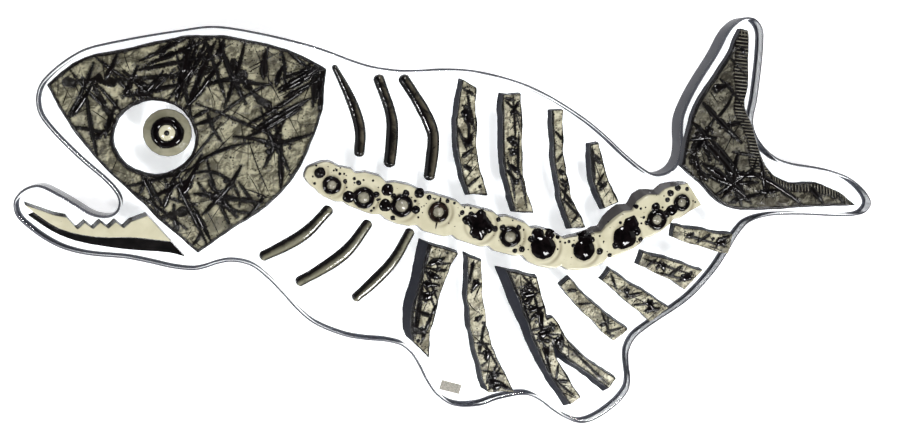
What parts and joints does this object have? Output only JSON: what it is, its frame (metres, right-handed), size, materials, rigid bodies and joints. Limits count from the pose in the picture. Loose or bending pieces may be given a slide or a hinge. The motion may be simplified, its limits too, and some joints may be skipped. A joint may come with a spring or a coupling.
{
  "type": "fused glass fish skeleton panel",
  "caption": "Decorative fish skeleton of fused glass pieces bonded to a thick clear panel cut to the outline of a fish.",
  "frame": {"origin": "under the middle of the panel, on the surface it lies on", "axes": "+X towards the tail, +Y towards the back of the fish, +Z out of the face with the glass; the panel lies flat on its back"},
  "size_m": [0.613, 0.296, 0.0316],
  "materials": {
    "clear_sheet": "clear, polished edges",
    "olive_glass": "opaque olive grey fused glass with raised black glass strokes",
    "cream_glass": "opaque cream fused glass",
    "black_glass": "glossy opaque black glass",
    "brown_glass": "glossy dark brown glass",
    "rod_glass": "dark olive glass, fire polished",
    "paper": "matt, bare"
  },
  "bodies": {
    "root": {"panel": "clear_sheet", "head": "olive_glass", "eye_iris": "olive_glass", "eye_ring": "black_glass", "eye_pupil": "cream_glass", "eye_dot": "black_glass", "jaw": "cream_glass", "jaw_band": "black_glass", "spine": "cream_glass", "vertebra_1": "black_glass", "vertebra_2": "black_glass", "vertebra_3": "black_glass", "vertebra_4": "black_glass", "vertebra_5": "brown_glass", "vertebra_6": "black_glass", "vertebra_7": "black_glass", "vertebra_8": "black_glass", "vertebra_9": "black_glass", "vertebra_10": "black_glass", "vertebra_11": "black_glass", "vertebra_12": "black_glass", "rib_upper_1": "rod_glass", "rib_upper_2": "rod_glass", "rib_upper_3": "rod_glass", "rib_upper_4": "olive_glass", "rib_upper_5": "olive_glass", "rib_upper_6": "olive_glass", "rib_upper_7": "olive_glass", "rib_lower_1": "rod_glass", "rib_lower_2": "rod_glass", "rib_lower_3": "rod_glass", "rib_lower_4": "olive_glass", "rib_lower_5": "olive_glass", "rib_lower_6": "olive_glass", "rib_lower_7": "olive_glass", "rib_lower_8": "olive_glass", "rib_lower_9": "olive_glass", "rib_lower_10": "olive_glass", "tail": "olive_glass", "label": "paper"}
  },
  "joints": []
}
